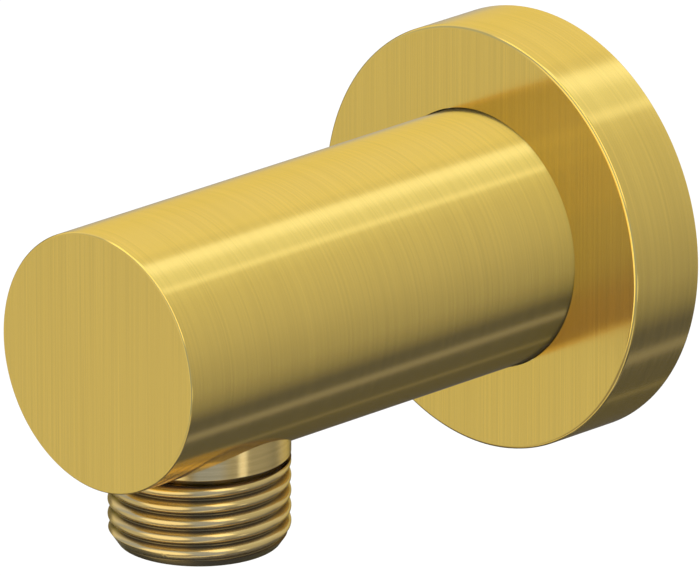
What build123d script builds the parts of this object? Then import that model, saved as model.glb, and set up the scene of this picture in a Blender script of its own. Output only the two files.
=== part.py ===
from build123d import *
import os
from math import pi, radians, sqrt, tan

# Wall outlet elbow: brings water out of a wall to the hose of a hand shower.
# Millimetres, +Z up. The wall's face is the plane Y = 0 and the body stands out along -Y.
# The origin is where the body's axis meets the wall.

# Fits
close_fit = 0.05  # radial room between turned pieces that plug or screw together
seal_gap = 0.03  # room between a squeezed O-ring and what it presses on
seal_squeeze = 0.16  # share of an O-ring's cord that its groove takes away
seal_corner = 0.3  # bevel of an O-ring's section, as a share of its height
groove_side_room = 0.3  # groove width beyond the squeezed ring

# Body
body_diameter = 30.3
projection = 71.4  # wall to front face
body_edge_chamfer = 0.3
waterway_diameter = 16.0
front_wall = 3.0  # metal left in front of the drill's point
drill_point_angle = 118.0
socket_lead_in = 0.8  # chamfer that lets the O-rings in, measured outwards
socket_end_room = 0.5  # beyond the wall nipple's nose

# Pipe thread, G 1/2 male, drawn at its crest
pipe_thread_major = 20.8
pipe_thread_depth = 1.16
thread_lead_in_length = 2.2

# Outlet nipple
outlet_setback = 16.1  # front face to outlet axis
outlet_drop = 25.0  # body axis to outlet mouth
neck_drop = 14.4  # body axis to the end of the smooth neck
thread_relief_width = 0.9
thread_relief_depth = 0.9
neck_socket_depth = 4.75  # neck's seat below the body's surface
seal_bore_diameter = 18.0
seal_land_length = 2.0
stem_thread_major = 17.0
stem_length = 5.4  # above the neck's seat
stem_tip_room = 0.2
stem_tip_chamfer = 0.5
nipple_key = 10.0  # hexagon through the stem, across flats
mouth_chamfer = 0.4
outlet_seal_cord = 1.5

# Check valve
cartridge_diameter = 14.0
cartridge_length = 12.5
cartridge_fit = 0.1
mouth_recess = 1.0  # cartridge end to outlet mouth
valve_seat_diameter = 8.4
valve_seat_length = 2.1  # straight part of the seat bore, above its 45 degree cone
valve_chamber_diameter = 12.2
cartridge_seal_cord = 1.2
cartridge_seal_drop = 1.5  # shell's top face to the middle of its O-ring
guide_length = 3.0  # step at the shell's open end that takes the guide
guide_wall = 0.6  # shell's wall round the guide
guide_ring_height = 2.6
guide_ring_width = 0.9
guide_hub_diameter = 5.0
guide_hub_height = 2.4
guide_spoke_count = 4
guide_spoke_width = 1.0
guide_spoke_height = 1.9
poppet_seal_diameter = 8.6  # at the middle of the seal's cord
poppet_seal_cord = 1.2
poppet_flange_diameter = 9.8
poppet_flange_thickness = 0.95
poppet_head_diameter = 7.8
poppet_head_height = 0.9
poppet_nose_height = 0.6
poppet_nose_diameter = 4.0
poppet_stem_diameter = 2.4
poppet_stem_fit = 0.1
poppet_stem_reach = 1.2  # stem inside the hub with the valve shut
spring_boss_height = 0.8
spring_boss_fit = 0.1
spring_coil_diameter = 3.9  # at the middle of the wire
spring_wire = 0.4
spring_turns = 4.0

# Wall nipple
wall_thread_length = 12.0
collar_diameter = 26.0
collar_thickness = 1.0
spigot_diameter = 20.0
spigot_length = 23.5
spigot_nose_chamfer = 1.0
wall_nipple_bore = 11.0
wall_nipple_key = 12.0  # hexagon from the nose, across flats
wall_nipple_key_depth = 12.0
wall_seal_cord = 2.0
front_seal_setback = 4.0  # nose to the middle of the front O-ring
wall_seal_spacing = 7.0

# Set screw, M4 with a hexagon socket and a flat point
set_screw_inset = 4.2  # wall to the screw's axis
set_screw_diameter = 4.0
set_screw_recess = 0.15  # head below the body's surface
set_screw_point = 2.0
set_screw_key = 2.0
set_screw_key_depth = 2.5
screw_groove_depth = 1.0
screw_groove_room = 0.1

# Rosette
rosette_diameter = 50.0
rosette_depth = 10.3
rosette_edge_chamfer = 0.45
rosette_back_chamfer = 0.2
rosette_plate = 2.2
rosette_rim_wall = 2.2
rosette_inner_corner = 1.0
rosette_body_gap = 0.15
rosette_front_land = 1.0  # front face to the O-ring groove
rosette_back_land = 0.7
rosette_collar_wall = 2.0  # outside the O-ring groove
rosette_seal_cord = 1.5
gasket_thickness = 1.0
gasket_width = 1.6
gasket_rebate = 1.1  # how far the rim is cut back for the gasket
gasket_fit = 0.05


def squeezed(cord):
    """Height of an O-ring's section once its groove has squeezed it."""
    return cord * (1 - seal_squeeze)


def bevel(cord):
    """Bevel at each corner of that section, which is drawn with eight sides."""
    return seal_corner * squeezed(cord)


def spread(cord):
    """Width of that section: it keeps the area of the round cord."""
    return (pi / 4 * cord**2 + 2 * bevel(cord) ** 2) / squeezed(cord)


def groove_depth(cord):
    """Distance from a groove's floor to the wall that its O-ring seals against."""
    return squeezed(cord) + 2 * seal_gap


def groove_width(cord):
    """Length of an O-ring's groove along the axis."""
    return spread(cord) + groove_side_room


# Body's places, along Y
body_radius = body_diameter / 2
body_back = -collar_thickness
socket_radius = spigot_diameter / 2 + close_fit
spigot_nose = body_back - spigot_length
socket_end = spigot_nose - socket_end_room
socket_lead_in_length = socket_lead_in / tan(radians(30))
waterway_radius = waterway_diameter / 2
drill_point_length = waterway_radius / tan(radians(drill_point_angle / 2))
waterway_end = front_wall + drill_point_length - projection

# Outlet's places, along Z at outlet_y
outlet_y = outlet_setback - projection
outlet_plane = Plane.XZ.offset(-outlet_y)
outlet_axis = Axis((0, outlet_y, 0), (0, 0, 1))
thread_radius = pipe_thread_major / 2
neck_socket_radius = thread_radius + close_fit
neck_seat = neck_socket_depth - body_radius
seal_bore_radius = seal_bore_diameter / 2
seal_land_top = neck_seat + seal_land_length
stem_radius = stem_thread_major / 2 - close_fit
stem_top = neck_seat + stem_length
port_floor = stem_top + stem_tip_room
outlet_seal_floor = seal_bore_radius - groove_depth(outlet_seal_cord)
outlet_groove_top = seal_land_top - groove_side_room / 2

# Check valve's places, along Z at outlet_y
cartridge_radius = cartridge_diameter / 2
outlet_bore_radius = cartridge_radius + cartridge_fit
cartridge_end = mouth_recess - outlet_drop
cartridge_top = cartridge_end + cartridge_length
cartridge_seal_z = cartridge_top - cartridge_seal_drop
cartridge_seal_floor = outlet_bore_radius - groove_depth(cartridge_seal_cord)
valve_seat_radius = valve_seat_diameter / 2
valve_seat_edge = cartridge_top - valve_seat_length
valve_chamber_radius = valve_chamber_diameter / 2
valve_cone_end = valve_seat_edge - (valve_chamber_radius - valve_seat_radius)
guide_top = cartridge_end + guide_length
guide_radius = cartridge_radius - guide_wall - close_fit
guide_hub_radius = guide_hub_diameter / 2
poppet_seal_radius = poppet_seal_diameter / 2
poppet_seal_half = poppet_seal_cord / 2
poppet_seal_drop = poppet_seal_radius - valve_seat_radius + sqrt(2) * (poppet_seal_half + seal_gap)
poppet_seal_z = valve_seat_edge - poppet_seal_drop
poppet_groove_top = poppet_seal_z + poppet_seal_half + seal_gap
poppet_flange_top = poppet_seal_z - poppet_seal_half - seal_gap
poppet_flange_bottom = poppet_flange_top - poppet_flange_thickness
poppet_head_top = poppet_groove_top + poppet_head_height
spring_boss_radius = (spring_coil_diameter - spring_wire) / 2 - spring_boss_fit
poppet_stem_radius = poppet_stem_diameter / 2
poppet_stem_end = guide_top - poppet_stem_reach
spring_low = guide_top + spring_wire / 2 + seal_gap
spring_rise = poppet_flange_bottom - spring_wire / 2 - seal_gap - spring_low

# Wall nipple's places, along Y
front_seal_y = spigot_nose + front_seal_setback
rear_seal_y = front_seal_y + wall_seal_spacing
wall_seal_floor = socket_radius - groove_depth(wall_seal_cord)

# Set screw's places, along Z at screw_y
screw_y = -set_screw_inset
screw_groove_floor = spigot_diameter / 2 - screw_groove_depth
screw_groove_half = set_screw_point / 2 + screw_groove_room
screw_radius = set_screw_diameter / 2
screw_point_radius = set_screw_point / 2
screw_point_length = screw_radius - screw_point_radius
screw_head = set_screw_recess - body_radius
screw_axis = Axis((0, screw_y, 0), (0, 0, 1))

# Rosette's places, along Y
rosette_radius = rosette_diameter / 2
rosette_hole_radius = body_radius + rosette_body_gap
rosette_seal_floor = body_radius + groove_depth(rosette_seal_cord)
rosette_seal_y = rosette_front_land + groove_width(rosette_seal_cord) / 2 - rosette_depth
collar_back = rosette_seal_y + groove_width(rosette_seal_cord) / 2 + rosette_back_land
rim_inner_radius = rosette_radius - rosette_rim_wall
rebate_radius = rim_inner_radius + gasket_rebate

os.makedirs("parts", exist_ok=True)


# Body: turned from bar, bored from the wall end, with a drill's point left at the blind end
with BuildPart() as body:
    with BuildSketch(Plane.XZ.offset(-body_back)):
        Circle(body_radius)
    extrude(amount=projection + body_back)
    chamfer(body.edges().filter_by(GeomType.CIRCLE), body_edge_chamfer)

    with BuildSketch(Plane.YZ):
        with BuildLine():
            Polyline(
                (body_back, 0),
                (body_back, socket_radius + socket_lead_in),
                (body_back - socket_lead_in_length, socket_radius),
                (socket_end, socket_radius),
                (socket_end, waterway_radius),
                (waterway_end, waterway_radius),
                (waterway_end - drill_point_length, 0),
                close=True,
            )
        make_face()
    revolve(axis=Axis.Y, mode=Mode.SUBTRACT)

    # Port underneath, stepped for the neck, the O-ring and the stem's thread
    with BuildSketch(outlet_plane):
        with BuildLine():
            Polyline(
                (0, -body_radius),
                (neck_socket_radius, -body_radius),
                (neck_socket_radius, neck_seat),
                (seal_bore_radius, neck_seat),
                (seal_bore_radius, seal_land_top),
                (stem_thread_major / 2, seal_land_top),
                (stem_thread_major / 2, port_floor),
                (0, port_floor),
                close=True,
            )
        make_face()
    revolve(axis=outlet_axis, mode=Mode.SUBTRACT)

    # Tapped hole for the set screw, under the wall end
    with Locations(Plane((0, screw_y, -body_radius), z_dir=(0, 0, -1))):
        Hole(screw_radius + close_fit, depth=body_radius - screw_groove_floor)
body.part.label = "body"
export_step(body.part, "parts/body.step")


# Outlet nipple: stem above, smooth neck and male thread below, bored for the check valve
with BuildPart() as outlet_nipple:
    with BuildSketch(outlet_plane):
        with BuildLine():
            Polyline(
                (0, stem_top),
                (stem_radius - stem_tip_chamfer, stem_top),
                (stem_radius, stem_top - stem_tip_chamfer),
                (stem_radius, outlet_groove_top),
                (outlet_seal_floor, outlet_groove_top),
                (outlet_seal_floor, neck_seat),
                (thread_radius, neck_seat),
                (thread_radius, -neck_drop),
                (thread_radius - thread_relief_depth, -neck_drop),
                (thread_radius - thread_relief_depth, -neck_drop - thread_relief_width),
                (thread_radius, -neck_drop - thread_relief_width),
                (thread_radius, thread_lead_in_length - outlet_drop),
                (thread_radius - pipe_thread_depth, -outlet_drop),
                (outlet_bore_radius + mouth_chamfer, -outlet_drop),
                (outlet_bore_radius, mouth_chamfer - outlet_drop),
                (outlet_bore_radius, cartridge_top),
                (0, cartridge_top),
                close=True,
            )
        make_face()
    revolve(axis=outlet_axis)

    # Hexagon through the stem for the key that screws the nipple in
    with BuildSketch(Plane((0, outlet_y, cartridge_top))):
        RegularPolygon(nipple_key / 2, 6, major_radius=False)
    extrude(amount=stem_top - cartridge_top, mode=Mode.SUBTRACT)
outlet_nipple.part.label = "outlet_nipple"
export_step(outlet_nipple.part, "parts/outlet_nipple.step")


# O-ring round the nipple's stem
with BuildPart() as outlet_nipple_o_ring:
    with BuildSketch(outlet_plane) as section:
        with Locations(((outlet_seal_floor + seal_bore_radius) / 2, (neck_seat + outlet_groove_top) / 2)):
            Rectangle(squeezed(outlet_seal_cord), spread(outlet_seal_cord))
        chamfer(section.vertices(), bevel(outlet_seal_cord))
    revolve(axis=outlet_axis)
outlet_nipple_o_ring.part.label = "outlet_nipple_o_ring"
export_step(outlet_nipple_o_ring.part, "parts/outlet_nipple_o_ring.step")


# Check valve's shell: a seat with a 45 degree cone above, a chamber, and a step for the guide
with BuildPart() as check_valve_housing:
    with BuildSketch(outlet_plane):
        with BuildLine():
            Polyline(
                (valve_seat_radius, cartridge_top),
                (cartridge_radius, cartridge_top),
                (cartridge_radius, cartridge_end),
                (guide_radius + close_fit, cartridge_end),
                (guide_radius + close_fit, guide_top),
                (valve_chamber_radius, guide_top),
                (valve_chamber_radius, valve_cone_end),
                (valve_seat_radius, valve_seat_edge),
                close=True,
            )
        make_face()
        with Locations((cartridge_radius, cartridge_seal_z)):
            Rectangle(
                2 * (cartridge_radius - cartridge_seal_floor),
                groove_width(cartridge_seal_cord),
                mode=Mode.SUBTRACT,
            )
    revolve(axis=outlet_axis)
check_valve_housing.part.label = "check_valve_housing"
export_step(check_valve_housing.part, "parts/check_valve_housing.step")


# O-ring round the check valve's shell
with BuildPart() as check_valve_o_ring:
    with BuildSketch(outlet_plane) as section:
        with Locations(((cartridge_seal_floor + outlet_bore_radius) / 2, cartridge_seal_z)):
            Rectangle(squeezed(cartridge_seal_cord), spread(cartridge_seal_cord))
        chamfer(section.vertices(), bevel(cartridge_seal_cord))
    revolve(axis=outlet_axis)
check_valve_o_ring.part.label = "check_valve_o_ring"
export_step(check_valve_o_ring.part, "parts/check_valve_o_ring.step")


# Guide: a ring that snaps into the shell, spokes, and a hub that the poppet's stem slides in
with BuildPart() as check_valve_guide:
    with BuildSketch(Plane((0, outlet_y, guide_top - guide_ring_height))):
        Circle(guide_radius)
        Circle(guide_radius - guide_ring_width, mode=Mode.SUBTRACT)
    extrude(amount=guide_ring_height)
    with BuildSketch(Plane((0, outlet_y, guide_top - guide_hub_height))):
        Circle(guide_hub_radius)
    extrude(amount=guide_hub_height)
    with BuildSketch(Plane((0, outlet_y, guide_top - guide_hub_height))):
        with PolarLocations((guide_hub_radius + guide_radius - guide_ring_width) / 2, guide_spoke_count):
            Rectangle(guide_radius - guide_hub_radius, guide_spoke_width)
    extrude(amount=guide_spoke_height)
    with BuildSketch(Plane((0, outlet_y, guide_top))):
        Circle(poppet_stem_radius + poppet_stem_fit)
    extrude(amount=-guide_hub_height, mode=Mode.SUBTRACT)
check_valve_guide.part.label = "check_valve_guide"
export_step(check_valve_guide.part, "parts/check_valve_guide.step")


# Poppet, shut: nose, groove for its seal, flange, spring boss and stem
with BuildPart() as check_valve_poppet:
    with BuildSketch(outlet_plane):
        with BuildLine():
            Polyline(
                (0, poppet_head_top + poppet_nose_height),
                (poppet_nose_diameter / 2, poppet_head_top + poppet_nose_height),
                (poppet_head_diameter / 2, poppet_head_top),
                (poppet_head_diameter / 2, poppet_groove_top),
                (poppet_seal_radius - poppet_seal_half - seal_gap, poppet_groove_top),
                (poppet_seal_radius - poppet_seal_half - seal_gap, poppet_flange_top),
                (poppet_flange_diameter / 2, poppet_flange_top),
                (poppet_flange_diameter / 2, poppet_flange_bottom),
                (spring_boss_radius, poppet_flange_bottom),
                (spring_boss_radius, poppet_flange_bottom - spring_boss_height),
                (poppet_stem_radius, poppet_flange_bottom - spring_boss_height),
                (poppet_stem_radius, poppet_stem_end),
                (0, poppet_stem_end),
                close=True,
            )
        make_face()
    revolve(axis=outlet_axis)
check_valve_poppet.part.label = "check_valve_poppet"
export_step(check_valve_poppet.part, "parts/check_valve_poppet.step")


# Seal in the poppet's groove, against the cone of the seat
with BuildPart() as check_valve_seal:
    with BuildSketch(outlet_plane):
        with Locations((poppet_seal_radius, poppet_seal_z)):
            RegularPolygon(poppet_seal_half, 8, major_radius=False, rotation=22.5)
    revolve(axis=outlet_axis)
check_valve_seal.part.label = "check_valve_seal"
export_step(check_valve_seal.part, "parts/check_valve_seal.step")


# Spring, at its length with the valve shut, from the hub to the flange
with BuildPart() as check_valve_spring:
    with BuildLine() as coil:
        Helix(
            spring_rise / spring_turns,
            spring_rise,
            spring_coil_diameter / 2,
            center=(0, outlet_y, spring_low),
        )
    with BuildSketch(Plane(coil.edge() @ 0, z_dir=coil.edge() % 0)):
        RegularPolygon(spring_wire / 2, 6)
    sweep(path=coil.edge(), is_frenet=True)
check_valve_spring.part.label = "check_valve_spring"
export_step(check_valve_spring.part, "parts/check_valve_spring.step")


# Wall nipple: male thread into the wall, collar against it, and the plain spigot that the body plugs over
with BuildPart() as wall_nipple:
    with BuildSketch(Plane.YZ):
        with BuildLine():
            Polyline(
                (spigot_nose, wall_nipple_bore / 2),
                (spigot_nose, spigot_diameter / 2 - spigot_nose_chamfer),
                (spigot_nose + spigot_nose_chamfer, spigot_diameter / 2),
                (body_back, spigot_diameter / 2),
                (body_back, collar_diameter / 2),
                (0, collar_diameter / 2),
                (0, thread_radius),
                (wall_thread_length - thread_lead_in_length, thread_radius),
                (wall_thread_length, thread_radius - pipe_thread_depth),
                (wall_thread_length, wall_nipple_bore / 2),
                close=True,
            )
        make_face()
        with Locations((front_seal_y, spigot_diameter / 2), (rear_seal_y, spigot_diameter / 2)):
            Rectangle(
                groove_width(wall_seal_cord),
                2 * (spigot_diameter / 2 - wall_seal_floor),
                mode=Mode.SUBTRACT,
            )
        with BuildLine():
            Polyline(
                (screw_y - screw_groove_half, screw_groove_floor),
                (screw_y + screw_groove_half, screw_groove_floor),
                (screw_y + screw_groove_half + screw_groove_depth, spigot_diameter / 2),
                (screw_y - screw_groove_half - screw_groove_depth, spigot_diameter / 2),
                close=True,
            )
        make_face(mode=Mode.SUBTRACT)
    revolve(axis=Axis.Y)

    # Hexagon in the nose for the key that screws the nipple into the wall
    with BuildSketch(Plane.XZ.offset(-spigot_nose)):
        RegularPolygon(wall_nipple_key / 2, 6, major_radius=False)
    extrude(amount=-wall_nipple_key_depth, mode=Mode.SUBTRACT)
wall_nipple.part.label = "wall_nipple"
export_step(wall_nipple.part, "parts/wall_nipple.step")


# The two O-rings on the spigot
with BuildPart() as wall_nipple_front_o_ring:
    with BuildSketch(Plane.YZ) as section:
        with Locations((front_seal_y, (wall_seal_floor + socket_radius) / 2)):
            Rectangle(spread(wall_seal_cord), squeezed(wall_seal_cord))
        chamfer(section.vertices(), bevel(wall_seal_cord))
    revolve(axis=Axis.Y)
wall_nipple_front_o_ring.part.label = "wall_nipple_front_o_ring"
export_step(wall_nipple_front_o_ring.part, "parts/wall_nipple_front_o_ring.step")

with BuildPart() as wall_nipple_rear_o_ring:
    with BuildSketch(Plane.YZ) as section:
        with Locations((rear_seal_y, (wall_seal_floor + socket_radius) / 2)):
            Rectangle(spread(wall_seal_cord), squeezed(wall_seal_cord))
        chamfer(section.vertices(), bevel(wall_seal_cord))
    revolve(axis=Axis.Y)
wall_nipple_rear_o_ring.part.label = "wall_nipple_rear_o_ring"
export_step(wall_nipple_rear_o_ring.part, "parts/wall_nipple_rear_o_ring.step")


# Set screw: its point stands in the spigot's groove, its socket faces down
with BuildPart() as set_screw:
    with BuildSketch(Plane.XZ.offset(-screw_y)):
        with BuildLine():
            Polyline(
                (0, -screw_groove_floor),
                (screw_point_radius, -screw_groove_floor),
                (screw_radius, -screw_groove_floor - screw_point_length),
                (screw_radius, screw_head),
                (0, screw_head),
                close=True,
            )
        make_face()
    revolve(axis=screw_axis)
    with BuildSketch(Plane((0, screw_y, screw_head))):
        RegularPolygon(set_screw_key / 2, 6, major_radius=False)
    extrude(amount=set_screw_key_depth, mode=Mode.SUBTRACT)
set_screw.part.label = "set_screw"
export_step(set_screw.part, "parts/set_screw.step")


# Rosette: front plate, rim and a collar whose groove holds the O-ring against the body
with BuildPart() as rosette:
    with BuildSketch(Plane.YZ):
        with BuildLine():
            Polyline(
                (-rosette_depth, rosette_hole_radius),
                (-rosette_depth, rosette_radius),
                (0, rosette_radius),
                (0, rebate_radius),
                (-gasket_thickness, rebate_radius),
                (-gasket_thickness, rim_inner_radius),
                (rosette_plate - rosette_depth, rim_inner_radius),
                (rosette_plate - rosette_depth, rosette_seal_floor + rosette_collar_wall),
                (collar_back, rosette_seal_floor + rosette_collar_wall),
                (collar_back, rosette_hole_radius),
                close=True,
            )
        make_face()
        with Locations((rosette_seal_y, rosette_hole_radius)):
            Rectangle(
                groove_width(rosette_seal_cord),
                2 * (rosette_seal_floor - rosette_hole_radius),
                mode=Mode.SUBTRACT,
            )
    revolve(axis=Axis.Y)
    rings = rosette.edges().filter_by(GeomType.CIRCLE).sort_by(SortBy.RADIUS)
    outer_rings = rings.group_by(SortBy.RADIUS)[-1].sort_by(Axis.Y)
    chamfer(outer_rings[0], rosette_edge_chamfer)
    chamfer(outer_rings[-1], rosette_back_chamfer)
    inner_rings = rings.filter_by(lambda ring: abs(ring.radius - rim_inner_radius) < close_fit)
    chamfer(inner_rings.sort_by(Axis.Y)[0], rosette_inner_corner)
rosette.part.label = "rosette"
export_step(rosette.part, "parts/rosette.step")


# O-ring in the rosette's collar
with BuildPart() as rosette_o_ring:
    with BuildSketch(Plane.YZ) as section:
        with Locations((rosette_seal_y, (body_radius + rosette_seal_floor) / 2)):
            Rectangle(spread(rosette_seal_cord), squeezed(rosette_seal_cord))
        chamfer(section.vertices(), bevel(rosette_seal_cord))
    revolve(axis=Axis.Y)
rosette_o_ring.part.label = "rosette_o_ring"
export_step(rosette_o_ring.part, "parts/rosette_o_ring.step")


# Gasket in the rebate at the back of the rim, flush with it against the wall
with BuildPart() as rosette_gasket:
    with BuildSketch(Plane.XZ):
        Circle(rebate_radius - gasket_fit)
        Circle(rebate_radius - gasket_fit - gasket_width, mode=Mode.SUBTRACT)
    extrude(amount=gasket_thickness)
rosette_gasket.part.label = "rosette_gasket"
export_step(rosette_gasket.part, "parts/rosette_gasket.step")
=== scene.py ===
# %% [markdown]
# # A brushed brass wall outlet elbow
#
# This lesson dresses a small plumbing fitting: a round body that stands out of a wall, a round
# rosette (the flange round it), and a threaded outlet under it for the hose of a hand shower.
# The sizes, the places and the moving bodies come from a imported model, the frame. Everything here
# is built around it, in metres, in the same coordinates, so nothing has to be fitted afterwards.
# The wall is the plane Y = 0, the body stands out along -Y and the outlet points down.

# %% Load the frame
from math import cos, pi, radians, sin, sqrt, tan

import bmesh
import bpy
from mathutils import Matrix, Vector


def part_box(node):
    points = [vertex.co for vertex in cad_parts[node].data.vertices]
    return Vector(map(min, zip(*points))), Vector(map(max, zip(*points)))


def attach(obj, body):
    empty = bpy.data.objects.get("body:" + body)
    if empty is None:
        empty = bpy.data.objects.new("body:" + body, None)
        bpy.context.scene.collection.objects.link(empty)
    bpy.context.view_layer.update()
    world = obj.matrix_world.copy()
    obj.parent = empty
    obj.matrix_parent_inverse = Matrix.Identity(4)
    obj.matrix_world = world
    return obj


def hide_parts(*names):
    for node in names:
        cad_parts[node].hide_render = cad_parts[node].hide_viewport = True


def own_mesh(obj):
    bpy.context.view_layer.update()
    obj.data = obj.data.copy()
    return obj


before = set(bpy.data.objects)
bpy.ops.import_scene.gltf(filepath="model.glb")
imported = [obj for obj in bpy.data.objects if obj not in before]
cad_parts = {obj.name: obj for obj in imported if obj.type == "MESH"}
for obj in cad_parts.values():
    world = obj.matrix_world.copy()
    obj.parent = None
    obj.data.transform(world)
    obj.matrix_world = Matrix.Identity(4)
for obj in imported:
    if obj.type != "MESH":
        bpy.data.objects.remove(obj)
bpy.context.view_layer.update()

mm = 0.001

# %% [markdown]
# ## The camera
#
# A camera comes first, because it shows at once whether a shape is right. The reference is drawn
# with almost no perspective, so the lens is very long and the camera stands far away: lines that
# are parallel on the object stay nearly parallel in the picture. It looks down by 19 degrees from
# the right of the front.

# %% Camera
azimuth, elevation = radians(44.88), radians(19.22)
camera_distance = 1.781
focal_length = 806  # in the millimetres of a 36 mm wide sensor
aim_right, aim_up = -1.039 * mm, -1.240 * mm

towards_camera = Vector((sin(azimuth) * cos(elevation), -cos(azimuth) * cos(elevation), sin(elevation)))
right = Vector((cos(azimuth), sin(azimuth), 0))
up = towards_camera.cross(right)
look_at = Vector((0, -29.72 * mm, 0)) + aim_right * right + aim_up * up

bpy.ops.object.camera_add(location=look_at + camera_distance * towards_camera)
camera = bpy.context.object
camera.name = "camera"
camera.rotation_euler = towards_camera.to_track_quat("Z", "Y").to_euler()
camera.data.lens = focal_length
camera.data.sensor_width = 36
camera.data.clip_start = 0.1
camera.data.clip_end = 100
bpy.context.scene.camera = camera
print("the camera stands at", [round(value, 3) for value in camera.location], "m")

# %% [markdown]
# ## Sizes
#
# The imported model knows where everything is, so the main sizes are read from it. What it can't
# give by its box, such as a bore or a groove, is named here in millimetres.

# %% Sizes from the frame
steps = 192  # sides of every large circle
overrun = 1.0 * mm  # how far a cutting tool stands out of what it cuts

body_low, body_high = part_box("body")
body_radius = body_high.x
body_front, body_back = body_low.y, body_high.y

rosette_low, rosette_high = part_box("rosette")
rosette_radius, rosette_front = rosette_high.x, rosette_low.y

outlet_low, outlet_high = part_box("outlet_nipple")
outlet_y = (outlet_low.y + outlet_high.y) / 2
outlet_centre = (0, outlet_y, 0)
outlet_mouth, stem_top = outlet_low.z, outlet_high.z
thread_radius = outlet_high.x

wall_low, wall_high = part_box("wall_nipple")
collar_radius = wall_high.x
spigot_nose, wall_thread_end = wall_low.y, wall_high.y
for part, radius in (("body", body_radius), ("rosette", rosette_radius), ("outlet", thread_radius)):
    print("the", part, "is", round(2 * radius / mm, 2), "mm across")

# %% [markdown]
# ## Modelling by hand, in a script
#
# Each step below is an operator, as a menu gives it: add, extrude, spin, bevel, or a modifier that is
# then applied. Operators act on what is selected, so these helpers select just what a step needs.

# %% Helpers for modelling by hand


def deselect():
    """Operators act on everything that is selected, so each step starts from nothing."""
    bpy.ops.object.select_all(action="DESELECT")


def only(piece):
    """Makes one piece the selected and active one."""
    deselect()
    piece.select_set(True)
    bpy.context.view_layer.objects.active = piece


def select_edges(piece, wanted):
    """In edit mode, selects the edges whose two ends answer to wanted(point)."""
    bpy.ops.mesh.select_mode(type="EDGE")
    bpy.ops.mesh.select_all(action="DESELECT")
    mesh = bmesh.from_edit_mesh(piece.data)
    for edge in mesh.edges:
        edge.select = all(wanted(corner.co) for corner in edge.verts)
    bmesh.update_edit_mesh(piece.data)


def paint_faces(piece, material, wanted):
    """Gives the faces that answer to wanted(middle, normal) another material."""
    only(piece)
    piece.data.materials.append(material)
    piece.active_material_index = len(piece.data.materials) - 1
    bpy.ops.object.mode_set(mode="EDIT")
    bpy.ops.mesh.select_mode(type="FACE")
    bpy.ops.mesh.select_all(action="DESELECT")
    mesh = bmesh.from_edit_mesh(piece.data)
    for face in mesh.faces:
        face.select = wanted(face.calc_center_median(), face.normal)
    bmesh.update_edit_mesh(piece.data)
    bpy.ops.object.material_slot_assign()
    bpy.ops.object.mode_set(mode="OBJECT")


def apply_modifier(piece, kind, **settings):
    """Adds a modifier, sets it and applies it."""
    only(piece)
    modifier = piece.modifiers.new(kind.title(), kind)
    for name, value in settings.items():
        setattr(modifier, name, value)
    bpy.ops.object.modifier_apply(modifier=modifier.name)


def cut(piece, tool, operation="DIFFERENCE"):
    """Cuts a piece with a closed tool, and throws the tool away."""
    apply_modifier(piece, "BOOLEAN", operation=operation, solver="EXACT", object=tool)
    bpy.data.objects.remove(tool)


def polish(piece, smooth_angle=30):
    """Smooth shading across small angles. Weighted normals keep the large flats truly flat."""
    only(piece)
    bpy.ops.object.shade_smooth_by_angle(angle=radians(smooth_angle))
    apply_modifier(piece, "WEIGHTED_NORMAL", keep_sharp=True, weight=100)
    print(piece.name, len(piece.data.polygons), "faces")


# %% [markdown]
# ## Turning
#
# Almost every piece of this fitting is turned on a lathe. Blender's Spin does the same: half of
# the section is drawn as a line of points, each extruded from the last, and then spun round the
# axis. A curve object with a bevel would be another way, but a spun section gives exact sizes and
# clean rings of faces. The first point is a plane whose corners are merged into one.

# %% A lathe
merge_distance = 0.002 * mm


def drawn_line(name, points):
    """A new piece, left in edit mode, whose edges run from point to point."""
    deselect()
    bpy.ops.mesh.primitive_plane_add(size=mm, location=points[0])
    piece = bpy.context.object
    piece.name = name
    bpy.ops.object.transform_apply(location=True, rotation=False, scale=False)
    bpy.ops.object.mode_set(mode="EDIT")
    bpy.ops.mesh.select_mode(type="VERT")
    bpy.ops.mesh.select_all(action="SELECT")
    bpy.ops.mesh.merge(type="CENTER")
    for here, there in zip(points, points[1:]):
        bpy.ops.mesh.extrude_region_move(TRANSFORM_OT_translate={"value": there - here})
    return piece


def turned(name, outline, axis="Y", centre=(0, 0, 0), sides=steps):
    """Spins an outline of (radius, place along the axis) points, in metres.

    An outline that doesn't start and end on the axis is closed first, as a ring's is.
    """
    along = Vector((0, 1, 0)) if axis == "Y" else Vector((0, 0, 1))
    middle = Vector(centre)
    points = [middle + Vector((radius, 0, 0)) + place * along for radius, place in outline]
    is_ring = outline[0][0] > 0
    piece = drawn_line(name, points + points[:1] if is_ring else points)
    bpy.ops.mesh.select_all(action="SELECT")
    bpy.ops.mesh.spin(steps=sides, angle=2 * pi, center=middle, axis=along)
    bpy.ops.mesh.select_all(action="SELECT")
    bpy.ops.mesh.remove_doubles(threshold=merge_distance)
    bpy.ops.mesh.normals_make_consistent(inside=False)
    bpy.ops.object.mode_set(mode="OBJECT")
    return piece


def near(a, b, slack=0.01 * mm):
    """Tells whether two lengths are the same, apart from rounding."""
    return abs(a - b) < slack


def round_ring(piece, width, radius, place, axis="Y", centre=(0, 0, 0), segments=3):
    """Rounds the one ring of edges that has this radius at this place along the axis."""

    def on_ring(point):
        x, y, z = point - Vector(centre)
        across, along = (Vector((x, z)), y) if axis == "Y" else (Vector((x, y)), z)
        return near(across.length, radius) and near(along, place)

    only(piece)
    bpy.ops.object.mode_set(mode="EDIT")
    select_edges(piece, on_ring)
    bpy.ops.mesh.bevel(offset=width, segments=segments, affect="EDGES")
    bpy.ops.object.mode_set(mode="OBJECT")


# %% [markdown]
# ## The body
#
# The body is a bar of brass, turned round, cut flat at the front and bored from the wall end for
# the wall nipple. A stepped port underneath takes the outlet. The port crosses the round surface
# of the bar, and that saddle-shaped edge is what a boolean cut gives exactly.

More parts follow.
